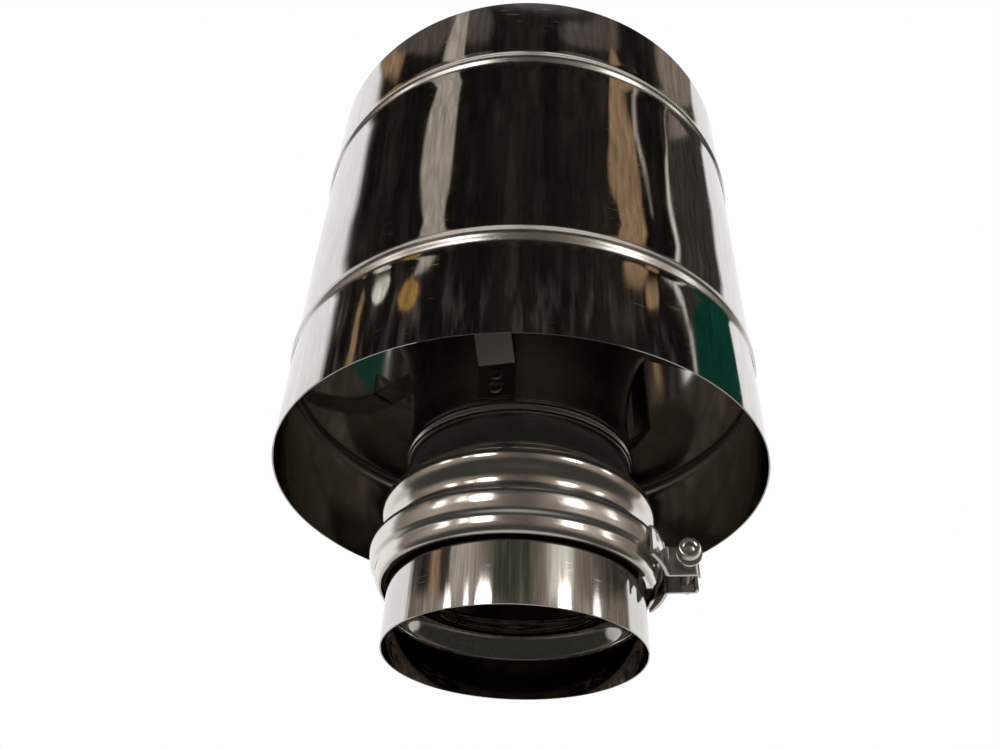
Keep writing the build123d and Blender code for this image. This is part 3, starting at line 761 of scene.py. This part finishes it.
# What the polished sheet mirrors, by the direction of the mirrored ray: a dim room in front, with a few pale
# things and lamps, and a white backdrop behind. These are its colours.
tones = {
    "dark": (0.009, 0.008, 0.007), "dusk": (0.022, 0.017, 0.014), "umber": (0.045, 0.038, 0.032),
    "stone": (0.11, 0.09, 0.08), "cloth": (0.24, 0.20, 0.17), "wall": (0.44, 0.39, 0.34),
    "wood": (0.32, 0.21, 0.125), "brass": (0.38, 0.23, 0.07), "green": (0.005, 0.045, 0.031),
    "pale": (0.82, 0.79, 0.72), "white": (1.0, 1.0, 1.0), "lamp": (4.5, 4.35, 4.15),
    "smallLamp": (2.5, 2.4, 2.3), "ceiling": (0.86, 0.81, 0.76), "below": (0.035, 0.036, 0.029),
    # The last tone is painted light: the dim reflected light of the object's interior, for rays mirrored twice or
    # more
    "floor": (0.5, 0.49, 0.47), "moss": (0.050, 0.058, 0.042), "interiorSheen": (0.17, 0.14, 0.115),
}
# Round the room, as azimuths in degrees: high up, at half height and at the height of the lamps
upperRoom = [(-180, "dusk"), (-165, "dark"), (-110, "dark"), (-96, "dusk"), (-80, "dark"), (-48, "dusk"),
             (-24, "dark"), (-9, "dark"), (-4, "umber"), (27, "umber"), (31, "white"), (161, "white"),
             (167, "umber"), (172, "dark")]
lowerRoom = [(-180, "dusk"), (-171, "umber"), (-168, "wood"), (-161, "wood"), (-158, "umber"), (-149, "umber"),
             (-146, "wall"), (-128, "wall"), (-122, "cloth"), (-106, "moss"), (-80, "moss"), (-66, "cloth"),
             (-58, "pale"), (-43, "pale"), (-37, "cloth"), (-14, "stone"), (0, "umber"), (19, "umber"),
             (23, "white"), (163, "white"), (170, "umber")]
lampLevel = [(-180, "cloth"), (-155, "wall"), (-110, "cloth"), (-94, "stone"), (-82, "stone"), (-70, "cloth"),
             (-40, "wall"), (-15, "wall"), (0, "cloth"), (20, "cloth"), (24, "white"), (163, "white"),
             (170, "cloth")]
# Curved streaks: points of elevation, azimuth and half width, with the tone
streaks = [
    ([(43.5, -148, 0), (45, -139, 4), (48, -140, 7), (51, -141, 9.5), (55, -139, 8), (61, -135, 3)], "wall"),
    ([(43, -33, 0), (45, -33, 8), (48, -33.5, 7.5), (50, -36, 9), (54, -37, 6.5), (58, -38, 0)], "wood"),
    ([(47.5, -20, 0), (49, -21, 0.8), (53, -27, 1.3), (55.8, -25, 0)], "wall"),
    ([(43.5, -8, 0), (44.5, -6, 1.2), (48, -7.5, 1.1), (53, -4, 0)], "pale"),
    ([(36, -4.5, 0.8), (41, -7, 0.9), (42.8, -13, 1.8), (43.4, -20, 0)], "pale"),
    ([(36, -176.5, 1.8), (39, -175.5, 2.0), (42.2, -175, 0)], "wood"),
    ([(41.2, -165, 0), (42.4, -164, 5), (43.4, -160, 0)], "pale"),
    ([(40.9, -147, 0), (42, -147, 5.5), (43.5, -146, 0)], "brass"),
]
# Soft patches: azimuth, half width, elevation, half height, softness and tone
patches = [
    (-117, 8, 14, 10.2, 0.2, "lamp"), (-48, 7, 14, 10, 0.2, "lamp"), (-149, 4.5, 15, 8.6, 0.2, "smallLamp"),
    (-18, 4, 14, 9.2, 0.2, "smallLamp"), (-132, 3, 17, 7, 0.3, "smallLamp"),
    (14, 17, 37, 4.6, 0.12, "green"), (14, 17, 57, 3.2, 0.25, "cloth"),
    (172, 14, 59, 4, 0.3, "wood"), (-168, 22, 58.5, 1.8, 0.4, "stone"), (-131, 16, 59, 1.6, 0.5, "stone"),
    (-26, 4.5, 42.4, 0.7, 0.4, "wood"), (12, 14, 52.4, 0.7, 0.6, "cloth"), (-52, 20, 58.7, 1.2, 0.5, "stone"),
]
# Elevations and turns where the room changes, in degrees: each pair says where a change starts and is done
room = {"lowerRoom": (29, 35), "lampLevel": (23.6, 22.6), "below": (-6, -26), "floor": (-66, -54),
        "ceiling": (60.5, 64), "lowHaze": (42, 45), "backMiddle": 93, "backHalf": (70, 74), "ripple": 0.022,
        "ceilingSpot": (-88, 8, 74, 12, 0.6), "streakEdge": (-0.7, 0.9), "widestStreak": 20, "softLight": 0.8}
# Noises over the directions: stretch, scale, roughness, range that counts and the values at its ends
grains = {
    "faint": ((5, 5, 2), 2.0, 0.6, (0.5, 0.72), (0.0, 1.0)),
    "lampLevel": ((8, 8, 1), 2.5, 0.65, (0.3, 0.7), (0.55, 1.35)),
    "inside": ((5, 5, 2), 2.0, 0.65, (0.42, 0.66), (0.0, 1.0)),
    "frontStrands": ((15, 15, 2.2), 3.0, 0.65, (0.32, 0.68), (0.5, 1.3)),
    "backStrands": ((15, 15, 2.2), 3.0, 0.65, (0.35, 0.65), (0.86, 1.0)),
}
world = bpy.data.worlds.new("studio")
bpy.context.scene.world = world
world.use_nodes = True
tree = world.node_tree
tree.nodes.clear()
ray = tree.nodes.new("ShaderNodeTexCoord").outputs["Generated"]
split = tree.nodes.new("ShaderNodeSeparateXYZ")
tree.links.new(ray, split.inputs[0])
turn = math2(tree, "DIVIDE", math2(tree, "ARCTAN2", split.outputs["Y"], split.outputs["X"]), 2 * math.pi)
upwards = math2(tree, "MULTIPLY", math2(tree, "ARCSINE", split.outputs["Z"]), 180 / math.pi)
ripple = math2(tree, "SUBTRACT", noise(tree, mapped(tree, ray, (2.2, 2.2, 5.0)), 2.4, 3, 0.6), 0.5)
wavy = math2(tree, "ADD", turn, math2(tree, "MULTIPLY", ripple, room["ripple"]))
wavyTurn = math2(tree, "FRACT", math2(tree, "ADD", wavy, 1.5))


def toned(name):
    return (*tones[name], 1)


def grained(name):
    # the noise of that name, between its values
    stretch, scale, roughness, limits, values = grains[name]
    return ranged(tree, noise(tree, mapped(tree, ray, stretch), scale, 4, roughness), *limits, *values)


def roomRamp(stopsList):
    # colour by azimuth, from a list of azimuths and tones
    ramp = tree.nodes.new("ShaderNodeValToRGB")
    stops = ramp.color_ramp.elements
    while len(stops) < len(stopsList):
        stops.new(0.5)
    for stop, (angle, tone) in zip(stops, stopsList):
        stop.position = (angle + 180) / 360
    for stop, (angle, tone) in zip(sorted(stops, key=lambda item: item.position), stopsList):
        stop.color = toned(tone)
    tree.links.new(wavyTurn, ramp.inputs[0])
    return ramp.outputs["Color"]


def sidewaysFrom(azimuth):
    # degrees of azimuth between the ray and a number or socket, which counts turns from -180 degrees
    away = math2(tree, "FRACT", math2(tree, "ADD", math2(tree, "SUBTRACT", wavyTurn, azimuth), 1.5))
    return math2(tree, "MULTIPLY", math2(tree, "ABSOLUTE", math2(tree, "SUBTRACT", away, 0.5)), 360)


def patchMask(azimuth, half, elevation, rise, soft):
    # rounded patch: 1 where (sideways / half)^4 + (up or down / rise)^4 is under 1, with a soft edge
    across = math2(tree, "DIVIDE", sidewaysFrom((azimuth + 180) / 360), half)
    upDown = math2(tree, "DIVIDE", math2(tree, "ABSOLUTE", math2(tree, "SUBTRACT", upwards, elevation)), rise)
    reach = math2(tree, "ADD", math2(tree, "POWER", across, 4), math2(tree, "POWER", upDown, 4))
    return ranged(tree, reach, 1 - soft, 1 + soft, 1.0, 0.0)


def curve(values):
    # value by elevation through points that are given as elevation and value
    node = tree.nodes.new("ShaderNodeFloatCurve")
    line = node.mapping.curves[0]
    line.points[0].location = (values[0][0] / 90, values[0][1])
    line.points[1].location = (values[-1][0] / 90, values[-1][1])
    for elevation, value in values[1:-1]:
        line.points.new(elevation / 90, value)
    node.mapping.extend = "HORIZONTAL"
    node.mapping.update()
    tree.links.new(math2(tree, "DIVIDE", upwards, 90), node.inputs["Value"])
    return node.outputs[0]


def streakMask(points):
    # curved streak: 1 within its half width, which changes along it, and 0 past its first and last elevation
    middle = curve([(elevation, (azimuth + 180) / 360) for elevation, azimuth, half in points])
    widest = room["widestStreak"]
    half = math2(tree, "MULTIPLY", curve([(elevation, half / widest) for elevation, azimuth, half in points]), widest)
    inside = ranged(tree, math2(tree, "SUBTRACT", half, sidewaysFrom(middle)), *room["streakEdge"], 0.0, 1.0)
    within = math2(tree, "MULTIPLY", math2(tree, "GREATER_THAN", upwards, points[0][0]),
                   math2(tree, "LESS_THAN", upwards, points[-1][0]))
    return math2(tree, "MULTIPLY", inside, within)


def upTo(name):
    # 0 to 1 between the two elevations that the room gives for a change
    return ranged(tree, upwards, *room[name], 0.0, 1.0)


lowDown = mixedColour(tree, upTo("lowHaze"), toned("stone"), toned("dusk"))
faint = mixedColour(tree, grained("faint"), (0, 0, 0, 1), lowDown)
mirrored = mixedColour(tree, upTo("lowerRoom"), roomRamp(lowerRoom), roomRamp(upperRoom))
mirrored = mixedColour(tree, 1.0, mirrored, faint, "ADD")
# 1 in front, 0 where the backdrop is
front = ranged(tree, sidewaysFrom((room["backMiddle"] + 180) / 360), *room["backHalf"], 0.0, 1.0)
around = scaled(tree, roomRamp(lampLevel), grained("lampLevel"))
mirrored = mixedColour(tree, math2(tree, "MULTIPLY", upTo("lampLevel"), front), mirrored, around)
nearFloor = math2(tree, "MULTIPLY", front, upTo("floor"))
downwards = mixedColour(tree, nearFloor, toned("floor"), toned("below"))
mirrored = mixedColour(tree, upTo("below"), mirrored, downwards)
for azimuth, half, elevation, rise, soft, tone in patches:
    mirrored = mixedColour(tree, patchMask(azimuth, half, elevation, rise, soft), mirrored, toned(tone))
for points, tone in streaks:
    mirrored = mixedColour(tree, streakMask(points), mirrored, toned(tone))
inFront = scaled(tree, mirrored, grained("frontStrands"))
behind = scaled(tree, mirrored, grained("backStrands"))
mirrored = mixedColour(tree, front, behind, inFront)
mirrored = mixedColour(tree, upTo("ceiling"), mirrored, toned("ceiling"))
mirrored = mixedColour(tree, patchMask(*room["ceilingSpot"]), mirrored, toned("stone"))
# A ray that was mirrored twice or more comes from inside the object: for it the world paints the interior's shade, a
# dim colour with faint painted streaks of reflected light
paths = tree.nodes.new("ShaderNodeLightPath")
deep = math2(tree, "GREATER_THAN", paths.outputs["Glossy Depth"], 1.5)
inside = mixedColour(tree, grained("inside"), toned("dusk"), toned("interiorSheen"))
mirrored = mixedColour(tree, deep, mirrored, inside)
lit = mixedColour(tree, paths.outputs["Is Diffuse Ray"], mirrored, (room["softLight"],) * 3 + (1,))
seen = mixedColour(tree, paths.outputs["Is Camera Ray"], lit, (1.0, 1.0, 1.0, 1))
sky = tree.nodes.new("ShaderNodeBackground")
tree.links.new(seen, sky.inputs["Color"])
sky.inputs["Strength"].default_value = 1.0
tree.links.new(sky.outputs["Background"], tree.nodes.new("ShaderNodeOutputWorld").inputs["Surface"])


def lamp(name, azimuth, elevation, distance, size, power):
    # soft lamp that looks at the middle of the object from a direction in degrees
    up = math.radians(elevation)
    away = Vector((math.cos(math.radians(azimuth)) * math.cos(up), math.sin(math.radians(azimuth)) * math.cos(up),
                   math.sin(up)))
    light = bpy.data.lights.new(name, "AREA")
    light.size, light.energy = size, power
    item = bpy.data.objects.new(name, light)
    bpy.context.scene.collection.objects.link(item)
    item.location = Vector((0, 0, 0.16)) + away * distance
    item.rotation_euler = away.to_track_quat("Z", "Y").to_euler()
    item.visible_glossy = False


# Name, azimuth, elevation, distance, size and power of each
for settings in (("backLeftLamp", 125, 30, 1.4, 0.7, 9), ("backRightLamp", 60, 45, 1.4, 0.7, 9),
                 ("topLamp", -60, 74, 1.5, 0.5, 7)):
    lamp(*settings)

# Camera at the photograph's place, for an image of 1000 by 749
shot = {"place": (0.0, -0.3898, -0.1383), "yaw": -0.0312, "pitch": 0.6537, "roll": 0.0462, "focal": 873.2}
ahead = np.array([math.sin(shot["yaw"]) * math.cos(shot["pitch"]), math.cos(shot["yaw"]) * math.cos(shot["pitch"]),
                  math.sin(shot["pitch"])])
level = np.array([math.cos(shot["yaw"]), -math.sin(shot["yaw"]), 0.0])
above = np.cross(level, ahead)
right = level * math.cos(shot["roll"]) + above * math.sin(shot["roll"])
up = above * math.cos(shot["roll"]) - level * math.sin(shot["roll"])
camera = bpy.data.objects.new("camera", bpy.data.cameras.new("camera"))
bpy.context.scene.collection.objects.link(camera)
camera.data.sensor_fit, camera.data.sensor_width = "HORIZONTAL", 36.0
camera.data.lens = 36.0 * shot["focal"] / 1000
camera.data.clip_start, camera.data.clip_end = 0.01, 20
camera.matrix_world = Matrix([
    [right[row], up[row], -ahead[row], shot["place"][row]] for row in range(3)] + [[0, 0, 0, 1]])
bpy.context.scene.camera = camera
bpy.context.scene.view_settings.view_transform = "Standard"
print("stage, lamps and camera set")

bpy.context.view_layer.update()
